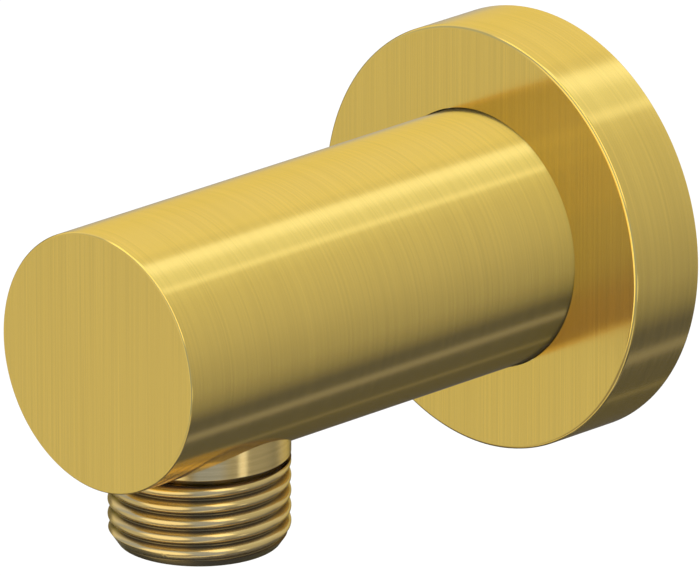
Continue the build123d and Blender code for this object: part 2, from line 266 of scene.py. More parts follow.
# %% Body
socket_radius, socket_end = 10.05 * mm, -25.0 * mm
socket_mouth_radius, socket_mouth_depth = 10.85 * mm, 1.386 * mm
waterway_radius, waterway_end = 8.0 * mm, -63.59 * mm
drill_point = -68.4 * mm
body_edge = 0.3 * mm

body = turned(
    "elbow_body",
    [
        (0, body_front),
        (body_radius, body_front),
        (body_radius, body_back),
        (socket_mouth_radius, body_back),
        (socket_radius, body_back - socket_mouth_depth),
        (socket_radius, socket_end),
        (waterway_radius, socket_end),
        (waterway_radius, waterway_end),
        (0, drill_point),
    ],
)
round_ring(body, body_edge, body_radius, body_front)
round_ring(body, body_edge, body_radius, body_back)

neck_seat, seal_land_top, port_floor = -10.4 * mm, -8.4 * mm, -4.8 * mm
port_radius, seal_bore_radius, stem_hole_radius = 10.45 * mm, 9.0 * mm, 8.5 * mm
port = turned(
    "port",
    [
        (0, -body_radius - overrun),
        (port_radius, -body_radius - overrun),
        (port_radius, neck_seat),
        (seal_bore_radius, neck_seat),
        (seal_bore_radius, seal_land_top),
        (stem_hole_radius, seal_land_top),
        (stem_hole_radius, port_floor),
        (0, port_floor),
    ],
    axis="Z",
    centre=outlet_centre,
)
cut(body, port)

screw_y, screw_hole_radius = -4.2 * mm, 2.05 * mm
screw_drill_length, screw_drill_middle = 8 * mm, -body_radius + 2 * mm
deselect()
bpy.ops.mesh.primitive_cylinder_add(
    vertices=48,
    radius=screw_hole_radius,
    depth=screw_drill_length,
    location=(0, screw_y, screw_drill_middle),
)
cut(body, bpy.context.object)
polish(body)

# %% [markdown]
# ## The rosette
#
# The rosette is a turned cap: a front plate, a rim that reaches back to the wall, and a collar
# round the body with a groove for an O-ring. Its front edge is broken by a fine rounding, which
# shows as a thin bright line in any light.

# %% Rosette
hole_radius, ring_groove_radius = 15.3 * mm, 16.47 * mm
ring_groove_middle, ring_groove_half = -8.335 * mm, 0.965 * mm
collar_outer_radius, collar_back = 18.47 * mm, -6.671 * mm
plate_back, rim_inner_radius = -8.1 * mm, 22.8 * mm
rebate_radius, rebate_front = 23.9 * mm, -1.0 * mm
rosette_edge, rosette_back_edge, rosette_corner = 0.45 * mm, 0.2 * mm, 1.0 * mm

rosette = turned(
    "sliding_rosette_cap",
    [
        (hole_radius, rosette_front),
        (rosette_radius, rosette_front),
        (rosette_radius, 0),
        (rebate_radius, 0),
        (rebate_radius, rebate_front),
        (rim_inner_radius, rebate_front),
        (rim_inner_radius, plate_back + rosette_corner),
        (rim_inner_radius - rosette_corner, plate_back),
        (collar_outer_radius, plate_back),
        (collar_outer_radius, collar_back),
        (hole_radius, collar_back),
        (hole_radius, ring_groove_middle + ring_groove_half),
        (ring_groove_radius, ring_groove_middle + ring_groove_half),
        (ring_groove_radius, ring_groove_middle - ring_groove_half),
        (hole_radius, ring_groove_middle - ring_groove_half),
    ],
)
round_ring(rosette, rosette_edge, rosette_radius, rosette_front)
round_ring(rosette, rosette_back_edge, rosette_radius, 0)
polish(rosette)

# %% [markdown]
# ## Pipe threads
#
# A G 1/2 thread has 14 turns to the inch. Here its crests are round and its grooves narrow. It
# could be a bump in the material, but its outline shows against the background, so it is real
# geometry. A rod is made first: the outline of one turn, swept along a helix by the Screw
# modifier. The rod, taken out of a plain ring, leaves a die, and the die then cuts the blank as
# on a real lathe. So the thread fades into the blank's own chamfer by itself.

# %% A die for the pipe thread
pitch = 25.4 / 14 * mm
crest_curve, root_curve, flank_turn = 0.62 * mm, 0.15 * mm, radians(55)
turn_steps, arc_steps = 128, 6
die_wall, die_trim, clean_cut = 2 * mm, 0.2 * mm, 0.0001 * mm


def thread_outline():
    """Points (radius, place) of one turn, from the middle of a crest to the middle of the next."""
    crest, root = [], []
    for i in range(arc_steps + 1):
        turn = flank_turn * i / arc_steps
        crest.append((crest_curve * sin(turn), crest_curve * (1 - cos(turn))))
        root.append((root_curve * sin(turn), root_curve * (1 - cos(turn))))
    flank_width = pitch / 2 - crest[-1][0] - root[-1][0]
    depth = crest[-1][1] + flank_width * tan(flank_turn) + root[-1][1]
    down = crest + [(pitch / 2 - place, depth - rise) for place, rise in reversed(root)]
    back_up = [(pitch - place, drop) for place, drop in reversed(down[:-1])]
    return [(thread_radius - drop, place) for place, drop in down + back_up]


thread_root_radius = min(radius for radius, place in thread_outline())
print("the thread is", round((thread_radius - thread_root_radius) / mm, 2), "mm deep")


def die(name, length, phase):
    """A ring on the XY plane whose hole is the thread. Phase turns it, in radians."""
    outline = thread_outline()
    points = [Vector((radius, 0, place - 2 * pitch)) for radius, place in outline]
    rod = drawn_line("rod", points)
    bpy.ops.object.mode_set(mode="OBJECT")
    apply_modifier(
        rod,
        "SCREW",
        screw_offset=pitch,
        iterations=int(length / pitch) + 4,
        steps=turn_steps,
        render_steps=turn_steps,
        use_smooth_shade=True,
    )
    bpy.ops.object.mode_set(mode="EDIT")
    bpy.ops.mesh.select_all(action="SELECT")
    bpy.ops.mesh.remove_doubles(threshold=merge_distance)
    for height, keep_above in ((-die_trim, True), (length + die_trim, False)):
        bpy.ops.mesh.select_all(action="SELECT")
        bpy.ops.mesh.bisect(
            plane_co=(0, 0, height),
            plane_no=(0, 0, 1),
            clear_inner=keep_above,
            clear_outer=not keep_above,
            use_fill=True,
            threshold=clean_cut,
        )
    bpy.ops.mesh.select_all(action="SELECT")
    bpy.ops.mesh.normals_make_consistent(inside=False)
    bpy.ops.object.mode_set(mode="OBJECT")
    rod.rotation_euler.z = phase
    bpy.ops.object.transform_apply(location=False, rotation=True, scale=False)
    deselect()
    bpy.ops.mesh.primitive_cylinder_add(
        vertices=64, radius=thread_radius + die_wall, depth=length, location=(0, 0, length / 2)
    )
    ring = bpy.context.object
    ring.name = name
    bpy.ops.object.transform_apply(location=True, rotation=False, scale=False)
    cut(ring, rod)
    return ring


# %% [markdown]
# ## The outlet nipple
#
# The outlet is a separate turned nipple. Its stem screws into the port, an O-ring seals it, a
# short smooth neck shows under the body, and then comes the male thread with a chamfer to start
# the hose nut.

# %% Outlet nipple
neck_end, relief_width, relief_radius = -14.4 * mm, 0.6 * mm, 9.5 * mm
lead_in_start, lead_in_radius = outlet_mouth + 1.7 * mm, thread_radius - 1.16 * mm
outlet_bore_radius, bore_end, mouth_chamfer = 7.1 * mm, -11.5 * mm, 0.4 * mm
stem_radius, stem_chamfer = 8.45 * mm, 0.5 * mm
seal_floor_radius, seal_floor_top = 7.68 * mm, -8.55 * mm
stem_key, nipple_edge = 10.0 * mm, 0.12 * mm
thread_phase = radians(117.5)

outlet_nipple = turned(
    "threaded_outlet",
    [
        (0, stem_top),
        (stem_radius - stem_chamfer, stem_top),
        (stem_radius, stem_top - stem_chamfer),
        (stem_radius, seal_floor_top),
        (seal_floor_radius, seal_floor_top),
        (seal_floor_radius, neck_seat),
        (thread_radius, neck_seat),
        (thread_radius, neck_end),
        (relief_radius, neck_end),
        (relief_radius, neck_end - relief_width),
        (thread_radius, neck_end - relief_width),
        (thread_radius, lead_in_start),
        (lead_in_radius, outlet_mouth),
        (outlet_bore_radius + mouth_chamfer, outlet_mouth),
        (outlet_bore_radius, outlet_mouth + mouth_chamfer),
        (outlet_bore_radius, bore_end),
        (0, bore_end),
    ],
    axis="Z",
    centre=outlet_centre,
)
round_ring(outlet_nipple, nipple_edge, thread_radius, neck_end, "Z", outlet_centre)
round_ring(outlet_nipple, nipple_edge, lead_in_radius, outlet_mouth, "Z", outlet_centre)

thread_length = neck_end - relief_width - outlet_mouth
outlet_die = die("outlet_die", thread_length + overrun, thread_phase)
outlet_die.location = (0, outlet_y, outlet_mouth - overrun)
cut(outlet_nipple, outlet_die)

deselect()
bpy.ops.mesh.primitive_cylinder_add(
    vertices=6,
    radius=stem_key / sqrt(3),
    depth=stem_top - bore_end + 2 * overrun,
    location=(0, outlet_y, (stem_top + bore_end) / 2),
)
cut(outlet_nipple, bpy.context.object)
polish(outlet_nipple, 35)

# %% [markdown]
# ## The wall nipple
#
# Behind the rosette, a second nipple screws into the fitting in the wall. The body plugs over
# its plain end, so all that shows from behind is the collar and the thread.

# %% Wall nipple
spigot_radius, nose_chamfer = 10.0 * mm, 1.0 * mm
wall_bore_radius, wall_lead_in = 5.5 * mm, 2.2 * mm
wall_seal_floor_radius, wall_seal_half = 8.31 * mm, 1.236 * mm
front_seal_y, rear_seal_y = -20.5 * mm, -13.5 * mm
screw_groove_radius, screw_groove_half, screw_groove_slope = 9.0 * mm, 1.1 * mm, 1.0 * mm
wall_key, wall_key_depth, collar_edge = 12.0 * mm, 12.0 * mm, 0.15 * mm

wall_nipple = turned(
    "wall_connection_nipple",
    [
        (wall_bore_radius, spigot_nose),
        (spigot_radius - nose_chamfer, spigot_nose),
        (spigot_radius, spigot_nose + nose_chamfer),
        (spigot_radius, front_seal_y - wall_seal_half),
        (wall_seal_floor_radius, front_seal_y - wall_seal_half),
        (wall_seal_floor_radius, front_seal_y + wall_seal_half),
        (spigot_radius, front_seal_y + wall_seal_half),
        (spigot_radius, rear_seal_y - wall_seal_half),
        (wall_seal_floor_radius, rear_seal_y - wall_seal_half),
        (wall_seal_floor_radius, rear_seal_y + wall_seal_half),
        (spigot_radius, rear_seal_y + wall_seal_half),
        (spigot_radius, screw_y - screw_groove_half - screw_groove_slope),
        (screw_groove_radius, screw_y - screw_groove_half),
        (screw_groove_radius, screw_y + screw_groove_half),
        (spigot_radius, screw_y + screw_groove_half + screw_groove_slope),
        (spigot_radius, body_back),
        (collar_radius, body_back),
        (collar_radius, 0),
        (thread_radius, 0),
        (thread_radius, wall_thread_end - wall_lead_in),
        (lead_in_radius, wall_thread_end),
        (wall_bore_radius, wall_thread_end),
    ],
)
round_ring(wall_nipple, collar_edge, collar_radius, body_back)
round_ring(wall_nipple, collar_edge, collar_radius, 0)

wall_die = die("wall_die", wall_thread_end + overrun - relief_width, 0)
wall_die.rotation_euler.x = radians(-90)
wall_die.location = (0, relief_width, 0)
cut(wall_nipple, wall_die)

deselect()
bpy.ops.mesh.primitive_cylinder_add(
    vertices=6,
    radius=wall_key / sqrt(3),
    depth=wall_key_depth + 2 * overrun,
    location=(0, spigot_nose + wall_key_depth / 2 - overrun, 0),
    rotation=(radians(90), 0, 0),
)
cut(wall_nipple, bpy.context.object)
polish(wall_nipple, 35)

# %% [markdown]
# ## The check valve
#
# A check valve stops hose water from running back into the wall. It is a small plastic cartridge
# pushed into the outlet: a shell with the seat, a poppet that opens downwards, a spoked guide that
# holds the poppet's stem, and a steel spring. All of it is turned in section too, even where the
# real one is moulded, and a Bevel modifier gives the fine radii that moulded edges have.

# %% Check valve shell and poppet
cartridge_radius, cartridge_top, cartridge_end = 7.0 * mm, -11.5 * mm, -24.0 * mm
cartridge_groove_radius, cartridge_groove_top, cartridge_groove_end = 6.032 * mm, -12.2 * mm, -13.8 * mm
seat_radius, seat_edge = 4.2 * mm, -13.6 * mm
chamber_radius, guide_step_radius = 6.1 * mm, 6.4 * mm
guide_top, guide_radius, guide_ring_width, guide_ring_height = -21.0 * mm, 6.35 * mm, 0.9 * mm, 2.6 * mm
hub_radius, hub_hole_radius, hub_height = 2.5 * mm, 1.3 * mm, 2.4 * mm
spoke_width, spoke_height, spoke_count = 1.0 * mm, 1.9 * mm, 4
moulded_edge, cage_edge, moulded_sides = 0.1 * mm, 0.06 * mm, 96
nose_radius, nose_top = 2.0 * mm, -12.46 * mm
plug_radius, plug_top = 3.9 * mm, -13.06 * mm
seal_slot_radius, seal_slot_top, seal_slot_end = 3.67 * mm, -13.961 * mm, -15.221 * mm
disc_radius, disc_end = 4.9 * mm, -16.171 * mm
boss_radius, boss_end = 1.65 * mm, -16.971 * mm
plunger_stem_radius, plunger_stem_end = 1.2 * mm, -22.2 * mm


def soften(piece, width, angle=40):
    """Rounds every edge that is sharper than the angle, as a mould or a deburring tool does."""
    apply_modifier(
        piece, "BEVEL", width=width, segments=2, limit_method="ANGLE", angle_limit=radians(angle)
    )


valve_shell = turned(
    "check_valve_shell",
    [
        (seat_radius, cartridge_top),
        (cartridge_radius, cartridge_top),
        (cartridge_radius, cartridge_groove_top),
        (cartridge_groove_radius, cartridge_groove_top),
        (cartridge_groove_radius, cartridge_groove_end),
        (cartridge_radius, cartridge_groove_end),
        (cartridge_radius, cartridge_end),
        (guide_step_radius, cartridge_end),
        (guide_step_radius, guide_top),
        (chamber_radius, guide_top),
        (chamber_radius, seat_edge - (chamber_radius - seat_radius)),
        (seat_radius, seat_edge),
    ],
    "Z",
    outlet_centre,
    moulded_sides,
)
poppet = turned(
    "check_valve_plunger",
    [
        (0, nose_top),
        (nose_radius, nose_top),
        (plug_radius, plug_top),
        (plug_radius, seal_slot_top),
        (seal_slot_radius, seal_slot_top),
        (seal_slot_radius, seal_slot_end),
        (disc_radius, seal_slot_end),
        (disc_radius, disc_end),
        (boss_radius, disc_end),
        (boss_radius, boss_end),
        (plunger_stem_radius, boss_end),
        (plunger_stem_radius, plunger_stem_end),
        (0, plunger_stem_end),
    ],
    "Z",
    outlet_centre,
    moulded_sides,
)
for piece in (valve_shell, poppet):
    soften(piece, moulded_edge)
    polish(piece)

# %% Check valve guide
guide = turned(
    "check_valve_cage",
    [
        (guide_radius - guide_ring_width, guide_top),
        (guide_radius, guide_top),
        (guide_radius, guide_top - guide_ring_height),
        (guide_radius - guide_ring_width, guide_top - guide_ring_height),
    ],
    "Z",
    outlet_centre,
    moulded_sides,
)
hub = turned(
    "hub",
    [
        (hub_hole_radius, guide_top),
        (hub_radius, guide_top),
        (hub_radius, guide_top - hub_height),
        (hub_hole_radius, guide_top - hub_height),
    ],
    "Z",
    outlet_centre,
    moulded_sides,
)
cut(guide, hub, "UNION")
spoke_sink = 0.3 * mm  # how far each spoke reaches into the hub
spoke_start, spoke_end = hub_radius - spoke_sink, guide_radius - guide_ring_width / 2
for i in range(spoke_count):
    turn = 2 * pi * i / spoke_count
    reach = (spoke_start + spoke_end) / 2
    deselect()
    bpy.ops.mesh.primitive_cube_add(
        size=1,
        location=(
            reach * cos(turn),
            outlet_y + reach * sin(turn),
            guide_top - hub_height + spoke_height / 2,
        ),
        rotation=(0, 0, turn),
        scale=(spoke_end - spoke_start, spoke_width, spoke_height),
    )
    cut(guide, bpy.context.object, "UNION")
soften(guide, cage_edge)
polish(guide)

# %% [markdown]
# ## The spring
#
# The spring is a wire coil. The Screw modifier sweeps a small circle along a helix, which is
# exactly how a coil is wound. It is squeezed when the poppet opens.

# %% Check valve spring
spring_low, spring_top = (value.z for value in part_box("check_valve_spring"))
wire_radius, coil_radius, coil_turns = 0.2 * mm, 1.95 * mm, 4
coil_rise = spring_top - spring_low - 2 * wire_radius

deselect()
bpy.ops.mesh.primitive_circle_add(
    vertices=16,
    radius=wire_radius,
    location=(coil_radius, 0, 0),
    rotation=(radians(90), 0, 0),
)
spring = bpy.context.object
spring.name = "check_valve_coil_spring"
bpy.ops.object.transform_apply(location=True, rotation=True, scale=False)
apply_modifier(
    spring,
    "SCREW",
    screw_offset=coil_rise / coil_turns,
    iterations=coil_turns,
    steps=48,
    render_steps=48,
    use_smooth_shade=True,
)
spring.location = (0, outlet_y, spring_low + wire_radius)
bpy.ops.object.transform_apply(location=True, rotation=False, scale=False)
bpy.ops.object.mode_set(mode="EDIT")
bpy.ops.mesh.select_all(action="SELECT")
bpy.ops.mesh.fill_holes(sides=0)
bpy.ops.mesh.select_all(action="SELECT")
bpy.ops.mesh.normals_make_consistent(inside=False)
bpy.ops.object.mode_set(mode="OBJECT")
polish(spring, 50)

# %% [markdown]
# ## Rubber rings
#
# An O-ring has a round cord, a little flattened where its groove squeezes it. Each ring is turned
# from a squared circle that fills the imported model's box. The gasket behind the rosette is a flat
# foam ring.

# %% Rubber rings
ring_points, ring_squareness = 20, 0.8


def squared(value):
    """Moves the sine or cosine of a circle outwards, which squares the circle a little."""
    return abs(value) ** ring_squareness * (1 if value > 0 else -1)


def rubber_ring(name, node, cord_height, axis="Y", centre=(0, 0, 0)):
    """A ring whose section fills the node's box: cord_height across, and its box's width along."""
    low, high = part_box(node)
    start, end = (low.y, high.y) if axis == "Y" else (low.z, high.z)
    section = []
    for i in range(ring_points):
        turn = 2 * pi * i / ring_points
        radius = high.x - cord_height / 2 + squared(cos(turn)) * cord_height / 2
        place = (start + end) / 2 + squared(sin(turn)) * (end - start) / 2
        section.append((radius, place))
    ring = turned(name, section, axis, centre, 128)
    polish(ring, 60)
    return ring


thin_cord, lip_cord, middle_cord, thick_cord = 1.008 * mm, 1.2 * mm, 1.26 * mm, 1.68 * mm
outlet_ring = rubber_ring("outlet_stem_o_ring", "outlet_nipple_o_ring", middle_cord, "Z", outlet_centre)
valve_ring = rubber_ring("check_valve_shell_o_ring", "check_valve_o_ring", thin_cord, "Z", outlet_centre)
valve_seal = rubber_ring("check_valve_lip_seal", "check_valve_seal", lip_cord, "Z", outlet_centre)
front_ring = rubber_ring("wall_front_o_ring", "wall_nipple_front_o_ring", thick_cord)
rear_ring = rubber_ring("wall_rear_o_ring", "wall_nipple_rear_o_ring", thick_cord)
rosette_ring = rubber_ring("rosette_grip_o_ring", "rosette_o_ring", middle_cord)

# %% Gasket
gasket_low, gasket_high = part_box("rosette_gasket")
gasket_width, gasket_edge = 1.6 * mm, 0.15 * mm
gasket = turned(
    "rosette_foam_gasket",
    [
        (gasket_high.x - gasket_width, gasket_low.y),
        (gasket_high.x, gasket_low.y),
        (gasket_high.x, gasket_high.y),
        (gasket_high.x - gasket_width, gasket_high.y),
    ],
)
soften(gasket, gasket_edge)
polish(gasket)

# %% [markdown]
# ## The set screw
#
# A small steel screw under the wall end holds the body on the wall nipple. It is turned, with a
# chamfered head, a flat point and a hexagon socket for the key.

# %% Set screw
screw_low, screw_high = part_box("set_screw")
screw_radius, screw_point, screw_chamfer = 2.0 * mm, 1.0 * mm, 0.3 * mm
screw_key, screw_key_depth = 2.0 * mm, 2.5 * mm
set_screw = turned(
    "body_set_screw",
    [
        (0, screw_high.z),
        (screw_point, screw_high.z),
        (screw_radius, screw_high.z - (screw_radius - screw_point)),
        (screw_radius, screw_low.z + screw_chamfer),
        (screw_radius - screw_chamfer, screw_low.z),
        (0, screw_low.z),
    ],
    "Z",
    (0, screw_y, 0),
    64,
)
deselect()
bpy.ops.mesh.primitive_cylinder_add(
    vertices=6,
    radius=screw_key / sqrt(3),
    depth=screw_key_depth + overrun,
    location=(0, screw_y, screw_low.z + (screw_key_depth - overrun) / 2),
)
cut(set_screw, bpy.context.object)
polish(set_screw)

# %% [markdown]
# ## Light
#
# Shiny metal shows its surroundings, so its look is made by what stands around it. A photographer
# puts such a piece in a tent: a shell of white cloth, lit from outside, with darker cloth below. So
# this scene has no lamp. A white world gives the soft light, a tent gives the reflections, and the
# floor is pale and plain. First come the tools: shader nodes are written as sums and products here,
# because a tree of nodes is easier to read as a formula.

# %% One small class for shader maths


class Wire:
    """A node's output. Sums and products of wires add Math nodes."""

    def __init__(self, tree, socket):
        self.tree, self.socket = tree, socket

    def node(self, kind, settings=(), inputs=(), output=0):
        """Adds a node: its settings first, then the values or wires of its sockets."""
        made = self.tree.nodes.new(kind)
        for name, value in dict(settings).items():
            if name == "stops":
                set_stops(made.color_ramp, value)
            else:
                setattr(made, name, value)
        for name, value in dict(inputs).items():
            socket = made.inputs[name]
            if isinstance(value, Wire):
                self.tree.links.new(value.socket, socket)
            else:
                socket.default_value = value
        return Wire(self.tree, made.outputs[output] if len(made.outputs) else made.inputs[0])

    def output(self, name):
        """Another output of the same node."""
        return Wire(self.tree, self.socket.node.outputs[name])

    def maths(self, operation, first, second=0.0):
        return self.node("ShaderNodeMath", {"operation": operation}, {0: first, 1: second})

    def __add__(self, other):
        return self.maths("ADD", self, other)

    def __sub__(self, other):
        return self.maths("SUBTRACT", self, other)

    def __rsub__(self, other):
        return self.maths("SUBTRACT", other, self)

    def __mul__(self, other):
        return self.maths("MULTIPLY", self, other)

    def __truediv__(self, other):
        return self.maths("DIVIDE", self, other)

    def __neg__(self):
        return self.maths("MULTIPLY", self, -1.0)

    __radd__ = __add__
    __rmul__ = __mul__


def set_stops(ramp, stops):
    """Gives a Color Ramp its stops: (place, colour) pairs, in order."""
    while len(ramp.elements) > 1:
        ramp.elements.remove(ramp.elements[-1])
    for i, (place, colour) in enumerate(stops):
        stop = ramp.elements[0] if i == 0 else ramp.elements.new(place)
        stop.position = place
        stop.color = (*colour, 1)


def rising(value, low, high):
    """0 below low, 1 above high, and smooth between them."""
    smooth = {"interpolation_type": "SMOOTHSTEP"}
    return value.node("ShaderNodeMapRange", smooth, {"Value": value, "From Min": low, "From Max": high})


def new_material(name):
    """A material with an empty node tree, and a wire to build it from."""
    material = bpy.data.materials.new(name)
    material.use_nodes = True
    material.node_tree.nodes.clear()
    return material, Wire(material.node_tree, None)


# %% [markdown]
# ## Floor and world
#
# The floor carries the object's shadow, which is faint, because such a fitting sits high on a wall.
# On the picture the background is pure white. Light Path gives the floor a little glow of its own
# that only the camera and reflections see, so it turns white without lighting the object.

# %% Floor and world
floor_drop, floor_size = 1.1, 60  # metres below the body's axis, and across
floor_grey, floor_glow = (0.85, 0.85, 0.85, 1), 0.2

world = bpy.data.worlds.new("studio")
bpy.context.scene.world = world
world.use_nodes = True
world.node_tree.nodes["Background"].inputs["Color"].default_value = (1, 1, 1, 1)
world.node_tree.nodes["Background"].inputs["Strength"].default_value = 1.0

deselect()
bpy.ops.mesh.primitive_plane_add(size=floor_size, location=(0, 0, -floor_drop))
floor = bpy.context.object
floor.name = "floor"
floor_material, paint = new_material("pale_floor")
rays = paint.node("ShaderNodeLightPath", (), (), "Is Camera Ray")
mirrored = rays.maths("MAXIMUM", rays.output("Is Glossy Ray"), rays.output("Is Transmission Ray"))
seen = rays.maths("MAXIMUM", rays, mirrored)
cloth = paint.node("ShaderNodeBsdfDiffuse", (), {"Color": floor_grey})
lift = paint.node("ShaderNodeEmission", (), {"Color": (1, 1, 1, 1), "Strength": seen * floor_glow})
both = paint.node("ShaderNodeAddShader", (), {0: cloth, 1: lift})
paint.node("ShaderNodeOutputMaterial", (), {"Surface": both})
floor.data.materials.append(floor_material)
print("the floor lies", floor_drop, "m below the body")

# %% [markdown]
# ## The bands of the tent
#
# A long round bar shows a tent as bands along it. Where a band shows depends only on the angle round
# the bar's axis, so most of the tent is given by that angle alone, in a Color Ramp: soft light from
# above with a bright strip overhead, dark cloth below, and faint glints in the dark.

# %% Bands round the body's axis
cool_dark, cool_glint, strip = (0.084, 0.086, 0.092), (0.26, 0.27, 0.43), (1.08, 1.16, 1.42)

# Each row is an angle from +X over +Z, in degrees, and the light's red, green and blue there.
# The bands were set by comparing renders with the reference, one band after the other.
tent_bands = (
    (-180, (0.66, 0.69, 0.80)),
    (-140, cool_dark),
    (-101, cool_dark),
    (-98.5, cool_glint),
    (-96, cool_dark),
    (-74, cool_dark),
    (-70, cool_glint),
    (-67, cool_glint),
    (-63, cool_dark),
    (-53, cool_dark),
    (-40, (0.24, 0.24, 0.21)),
    (-26, (0.34, 0.34, 0.30)),
    (10, (0.49, 0.49, 0.43)),
    (50, (0.61, 0.61, 0.51)),
    (62, (0.69, 0.70, 0.61)),
    (66, (0.95, 1.0, 1.08)),
    (68, (0.95, 1.0, 1.08)),
    (71, (0.78, 0.82, 0.80)),
    (80, (0.83, 0.88, 0.88)),
    (88, strip),
    (93.5, strip),
    (97.5, (0.76, 0.76, 0.65)),
    (102, (0.73, 0.72, 0.60)),
    (107, (0.81, 0.80, 0.66)),
    (140, (0.80, 0.80, 0.86)),
    (166, (0.78, 0.79, 0.92)),
    (178, (0.73, 0.72, 0.65)),
    (180, (0.72, 0.73, 0.75)),
)
print("the tent has", len(tent_bands), "stops")

# %% [markdown]
# ## The tent
#
# The tent is a large sphere round the object. Only reflections see it, so it hides nothing and casts
# no shadow. Its material asks in which direction each point lies: Object coordinates, made one
# long, are that direction. The angle round Y then picks the band.

# %% The light tent
tent_radius = 1.0  # smaller than the floor is low, so all of it is above the floor

deselect()
bpy.ops.mesh.primitive_uv_sphere_add(segments=64, ring_count=32, radius=tent_radius)
tent = bpy.context.object
tent.name = "light_tent"
tent.visible_camera = False
tent.visible_diffuse = False
tent.visible_transmission = False
tent.visible_shadow = False
tent_material, paint = new_material("tent_cloth")
place = paint.node("ShaderNodeTexCoord", (), (), "Object")
direction = paint.node("ShaderNodeVectorMath", {"operation": "NORMALIZE"}, {0: place})
parts = paint.node("ShaderNodeSeparateXYZ", (), {0: direction})
x, y, z = (parts.output(name) for name in "XYZ")
angle = paint.maths("ARCTAN2", z, x)
bands = paint.node(
    "ShaderNodeValToRGB",
    {"stops": [((degrees + 180) / 360, value) for degrees, value in tent_bands]},
    {0: (angle + pi) / (2 * pi)},
)

# %% [markdown]
# ## Cloths and cards
#
# The flat faces and the round edges look elsewhere than the bar does, so bands alone would leave
# them wrong. In front hangs a bluish cloth. It shows in the body's mirror image on the rosette, where
# brass colours it twice, and its lower left corner is brown for the thread. Two rings of light, one
# above and one below, give the rounded edges their thin bright lines. Round cards serve one thing
# each: a pale one the flat faces, a dark one the outlet's right edge, a small bright one the neck.
# A pale cloth behind is for views from the back.

# %% Cloths, rings and cards
blue_cloth, brown_cloth = (0.34, 0.42, 0.69, 1), (0.28, 0.26, 0.22, 1)
upper_light, lower_light, front_light = (1.6, 1.5, 1.2, 1), (0.8, 0.76, 0.65, 1), (1.2, 1.14, 0.95, 1)
pale_card, dark_card, bright_card = (0.58, 0.57, 0.50, 1), (0.2, 0.2, 0.2, 1), (1.3, 1.3, 1.3, 1)
faces_see, neck_sees = (-0.666, -0.669, -0.329), (0.934, 0.134, -0.329)
edge_sees = (-0.95, 0.28, -0.05)
tent_strength = 1.06


def blend(first, second, share):
    """The first colour where the share is 0, and the second where it is 1."""
    return paint.node("ShaderNodeMix", {"data_type": "RGBA"}, {0: share, 6: first, 7: second}, 2)


def card(middle, edge, full):
    """The share of a round card. Edge and full are cosines of angles from its middle."""
    closeness = paint.node(
        "ShaderNodeVectorMath", {"operation": "DOT_PRODUCT"}, {0: direction, 1: middle}, "Value"
    )
    return rising(closeness, edge, full)


left_corner = rising(-z, 0.1, 0.25) * rising(-y - x, 0.1, 0.3)
upper_ring = rising(-y, 0.0, 0.1) * rising(y, -0.5, -0.4) * rising(x, -0.6, -0.4) * rising(z, 0.25, 0.4)
lower_ring = rising(-y, 0.1, 0.2) * rising(y, -0.45, -0.35) * rising(x, -0.6, -0.4) * rising(-z, 0.5, 0.6)

front_cloth = blend(blend(blue_cloth, bands, 0.2), brown_cloth, left_corner)
shade = blend(bands, front_cloth, rising(-y, 0.1, 0.4))
for colour, share in (
    (upper_light, upper_ring),
    (lower_light, lower_ring),
    (front_light, rising(-y, 0.8, 0.9)),
    (pale_card, card(faces_see, 0.88, 0.94)),
    (dark_card, card(edge_sees, 0.92, 0.97)),
    (bright_card, card(neck_sees, 0.990, 0.997)),
    (pale_card, rising(y, 0.8, 0.97)),
):
    shade = blend(shade, colour, share)
glow = paint.node("ShaderNodeEmission", (), {"Color": shade, "Strength": tent_strength})
paint.node("ShaderNodeOutputMaterial", (), {"Surface": glow})
tent_material.cycles.emission_sampling = "NONE"
tent.data.materials.append(tent_material)
print("the tent is", 2 * tent_radius, "m across")

# %% [markdown]
# ## Brushed brass
#
# The fitting is brass, brushed with fine abrasive: round and round on the turned surfaces, straight
# up and down on the flat faces. Two things make it look brushed. Anisotropy blurs reflections
# across the strokes only, which draws the long soft bands. Noise, stretched along the strokes in
# three widths, varies colour, gloss and relief. An image of scratches would do the same, but it
# would show seams, and noise has none. The view transform is Standard, so that colours render as
# they are written.

# %% Colour management
bpy.context.scene.view_settings.view_transform = "Standard"
print("view transform:", bpy.context.scene.view_settings.view_transform)

# %% Brass
brass_dark, brass_light = (0.85, 0.608, 0.138, 1), (0.95, 0.682, 0.160, 1)
# The first colour here is painted shade, the dark brown of the outlet's grooves, relief and end chamfer; the
# two radii below are where that painted shade begins and ends.
painted_groove_shade, brass_glint = (0.16, 0.115, 0.04, 1), (1.0, 0.85, 0.4, 1)
groove_floor, groove_edge = thread_radius - 0.62 * mm, thread_radius - 0.05 * mm
lacquer_haze, haze_share = (0.8, 0.8, 0.8, 1), 0.03
stroke_relief = 0.01 * mm


def painted_shade_share(place):
    """Painted shade on the outlet: 0, dark, in its grooves, relief and end chamfer, and 1 on its crests and
    inside its bore, by distance from its axis.
    """
    spokes = place.node(
        "ShaderNodeVectorMath", {"operation": "MULTIPLY_ADD"}, {0: place, 1: (1, 1, 0), 2: (0, -outlet_y, 0)}
    )
    depth = place.node("ShaderNodeVectorMath", {"operation": "LENGTH"}, {0: spokes}, "Value")
    inside = 1 - rising(depth, lead_in_radius, lead_in_radius + 0.1 * mm)
    return place.maths("MAXIMUM", rising(depth, groove_floor, groove_edge), inside)


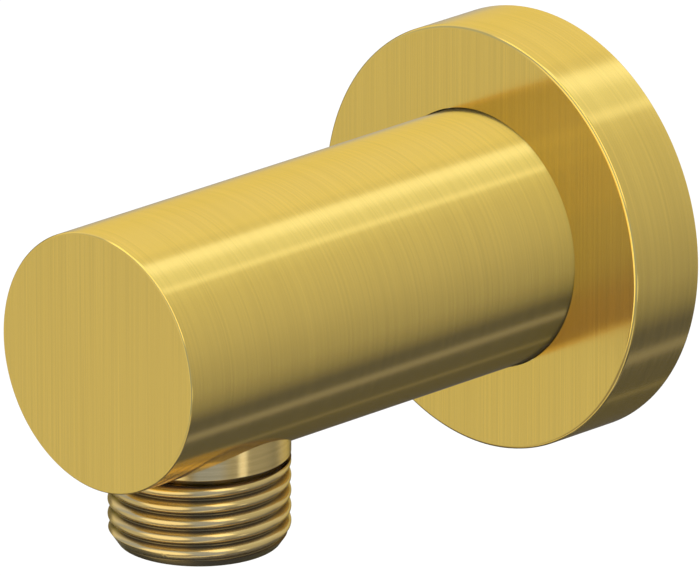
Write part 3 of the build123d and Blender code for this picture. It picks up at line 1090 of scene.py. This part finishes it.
def brass(name, strokes, roughness, anisotropy, turn=0.0, dark=brass_dark, light=brass_light, grooves=False):
    """Brushed brass. Strokes are how closely the pattern lies along X, Y and Z, in lines a metre.

    With the groove option, painted shade turns it dark brown where the outlet lies deeper than its thread's
    crests.
    """
    material, paint = new_material(name)
    place = paint.node("ShaderNodeTexCoord", (), (), "Object")
    stroke_layers = []
    for width in (1, 3, 10):
        scale = [lines / width for lines in strokes]
        stretched = paint.node("ShaderNodeMapping", (), {"Vector": place, "Scale": scale})
        noise = {"Vector": stretched, "Scale": 1.0, "Detail": 1.0}
        stroke_layers.append(paint.node("ShaderNodeTexNoise", (), noise))
    fine, middle, broad = stroke_layers
    pattern = fine * 0.45 + middle * 0.4 + broad * 0.15
    contrast = paint.node("ShaderNodeMapRange", (), {"Value": pattern, "From Min": 0.36, "From Max": 0.64})
    colour = paint.node("ShaderNodeMix", {"data_type": "RGBA"}, {0: contrast, 6: dark, 7: light}, 2)
    # Painted shade: the outlet's grooves, relief and end chamfer turn dark brown.
    if grooves:
        mix = {0: painted_shade_share(place), 6: painted_groove_shade, 7: colour}
        colour = paint.node("ShaderNodeMix", {"data_type": "RGBA"}, mix, 2)
    bump = paint.node("ShaderNodeBump", (), {"Strength": 0.1, "Distance": stroke_relief, "Height": pattern})
    shader = paint.node(
        "ShaderNodeBsdfPrincipled",
        (),
        {
            "Base Color": colour,
            "Metallic": 1.0,
            "Roughness": roughness - 0.02 + contrast * 0.04,
            "Specular Tint": brass_glint,
            "Anisotropic": anisotropy,
            "Anisotropic Rotation": turn,
            "Normal": bump,
        },
    )
    haze = paint.node("ShaderNodeBsdfDiffuse", (), {"Color": lacquer_haze})
    lacquered = paint.node("ShaderNodeMixShader", (), {0: haze_share, 1: shader, 2: haze})
    paint.node("ShaderNodeOutputMaterial", (), {"Surface": lacquered})
    return material


# %% [markdown]
# ## Four kinds of brass
#
# The body's round and its flat faces have the same brass with the strokes turned. The outlet is
# paler and brushed round its own axis, which stands upright, so its anisotropy is turned a
# quarter. The wall nipple is left as it came off the lathe.

# %% Four kinds of brass
turned_brass = brass("brushed_brass_turned", (40, 9000, 40), 0.11, 1.0)
faced_brass = brass("brushed_brass_face", (9000, 40, 40), 0.13, 0.9)
# The outlet's brass carries the painted shade in its thread's grooves.
nipple_brass = brass(
    "nipple_brass_turned",
    (60, 60, 7000),
    0.2,
    0.6,
    0.25,
    dark=(0.72, 0.53, 0.21, 1),
    light=(0.84, 0.63, 0.27, 1),
    grooves=True,
)
raw_brass = brass(
    "raw_brass_turned",
    (60, 4000, 60),
    0.3,
    0.6,
    dark=(0.68, 0.49, 0.17, 1),
    light=(0.86, 0.64, 0.24, 1),
)
print("brass:", turned_brass.name, faced_brass.name, nipple_brass.name, raw_brass.name)

# %% [markdown]
# ## The direction of the strokes
#
# Anisotropy needs a direction on the surface. Without UVs, Blender takes the one that runs round
# the Z axis of the mesh's texture space. With the middle of that space a metre to one side, that
# direction is nearly the Y axis all over the piece, which is across the strokes of a turned piece.

# %% Brass on its pieces


def middle_of_texture(piece, middle):
    """Puts the middle of a piece's texture space at a place, in metres."""
    piece.data.use_auto_texspace = False
    piece.data.texspace_location = middle
    piece.data.texspace_size = (1, 1, 1)


for piece, middle in ((body, (-1, 0, 0)), (rosette, (-1, 0.06, 0))):
    piece.data.materials.append(turned_brass)
    paint_faces(piece, faced_brass, lambda place, normal: abs(normal.y) > 0.99)
    middle_of_texture(piece, middle)
    print(piece.name, "has", len(piece.data.materials), "finishes")
outlet_nipple.data.materials.append(nipple_brass)
wall_nipple.data.materials.append(raw_brass)
middle_of_texture(wall_nipple, (-1, 0, 0))

# %% [markdown]
# ## Which pieces are mirrored
#
# On the reference, the rosette's face mirrors the body, but the brushed round of the body doesn't
# mirror the rosette. Ray visibility does this: a piece that glossy rays don't see isn't mirrored
# in any other. The gasket behind the rosette goes with it. All other pieces mirror each other.

# %% The rosette isn't mirrored
for piece in (rosette, gasket):
    piece.visible_glossy = False
print("not mirrored:", rosette.name, gasket.name)

# %% [markdown]
# ## Rubber, plastic and steel
#
# These are plain materials, but none is one flat colour. Rubber has a faint bloom and a moulded
# grain, foam has pores, moulded plastic has a soft mottle, and the steel has turning marks.

# %% Rubber, foam, plastic and steel


def grained(name, dark, light, low_rough, high_rough, grain, depth, metallic=0.0, stretch=(1, 1, 1)):
    """A material whose colour, gloss and relief follow one noise. Grain is in grains a metre."""
    material, paint = new_material(name)
    place = paint.node("ShaderNodeTexCoord", (), (), "Object")
    scaled = paint.node("ShaderNodeMapping", (), {"Vector": place, "Scale": stretch})
    noise = paint.node("ShaderNodeTexNoise", (), {"Vector": scaled, "Scale": grain, "Detail": 4.0})
    contrast = paint.node("ShaderNodeMapRange", (), {"Value": noise, "From Min": 0.35, "From Max": 0.65})
    colour = paint.node("ShaderNodeMix", {"data_type": "RGBA"}, {0: contrast, 6: dark, 7: light}, 2)
    bump = paint.node("ShaderNodeBump", (), {"Strength": 0.3, "Distance": depth, "Height": noise})
    shader = paint.node(
        "ShaderNodeBsdfPrincipled",
        (),
        {
            "Base Color": colour,
            "Metallic": metallic,
            "Roughness": contrast * (high_rough - low_rough) + low_rough,
            "Normal": bump,
        },
    )
    paint.node("ShaderNodeOutputMaterial", (), {"Surface": shader})
    return material


black_rubber = grained(
    "black_rubber", (0.012, 0.012, 0.012, 1), (0.03, 0.03, 0.03, 1), 0.42, 0.6, 4000, 0.02 * mm
)
foam_rubber = grained(
    "grey_foam_rubber", (0.07, 0.07, 0.07, 1), (0.16, 0.16, 0.16, 1), 0.8, 0.95, 5000, 0.08 * mm
)
white_plastic = grained(
    "white_moulded_plastic", (0.76, 0.76, 0.73, 1), (0.86, 0.86, 0.83, 1), 0.3, 0.42, 900, 0.01 * mm
)
spring_steel = grained(
    "drawn_steel", (0.52, 0.52, 0.52, 1), (0.64, 0.64, 0.63, 1), 0.2, 0.34, 6000, 0.005 * mm, 1.0
)
screw_steel = grained(
    "turned_steel", (0.50, 0.50, 0.50, 1), (0.64, 0.64, 0.63, 1), 0.25, 0.4, 60, 0.005 * mm, 1.0, (1, 1, 60)
)

for piece, material in (
    (valve_shell, white_plastic),
    (guide, white_plastic),
    (poppet, white_plastic),
    (spring, spring_steel),
    (set_screw, screw_steel),
    (gasket, foam_rubber),
    (outlet_ring, black_rubber),
    (valve_ring, black_rubber),
    (valve_seal, black_rubber),
    (front_ring, black_rubber),
    (rear_ring, black_rubber),
    (rosette_ring, black_rubber),
):
    piece.data.materials.append(material)
    print(piece.name, "is", material.name)

# %% [markdown]
# ## What moves with what
#
# Every piece rides on a body of the imported model and takes the place of one of its nodes,
# which is hidden. The rosette slides with its ring and its gasket, the poppet lifts with its seal, and the
# rest stays.

# %% Bodies and nodes
for node, piece, rides_on, slot in (
    ("body", body, "root", "brushed_brass"),
    ("rosette", rosette, "sliding_rosette", "brushed_brass"),
    ("outlet_nipple", outlet_nipple, "root", "nipple_brass"),
    ("wall_nipple", wall_nipple, "root", "raw_brass"),
    ("check_valve_housing", valve_shell, "root", "white_plastic"),
    ("check_valve_guide", guide, "root", "white_plastic"),
    ("check_valve_poppet", poppet, "valve_poppet", "white_plastic"),
    ("check_valve_seal", valve_seal, "valve_poppet", "black_rubber"),
    ("check_valve_o_ring", valve_ring, "root", "black_rubber"),
    ("check_valve_spring", spring, "root", "stainless_steel"),
    ("outlet_nipple_o_ring", outlet_ring, "root", "black_rubber"),
    ("wall_nipple_front_o_ring", front_ring, "root", "black_rubber"),
    ("wall_nipple_rear_o_ring", rear_ring, "root", "black_rubber"),
    ("set_screw", set_screw, "root", "stainless_steel"),
    ("rosette_o_ring", rosette_ring, "sliding_rosette", "black_rubber"),
    ("rosette_gasket", gasket, "sliding_rosette", "grey_foam_rubber"),
):
    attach(piece, rides_on)
    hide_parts(node)

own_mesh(spring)
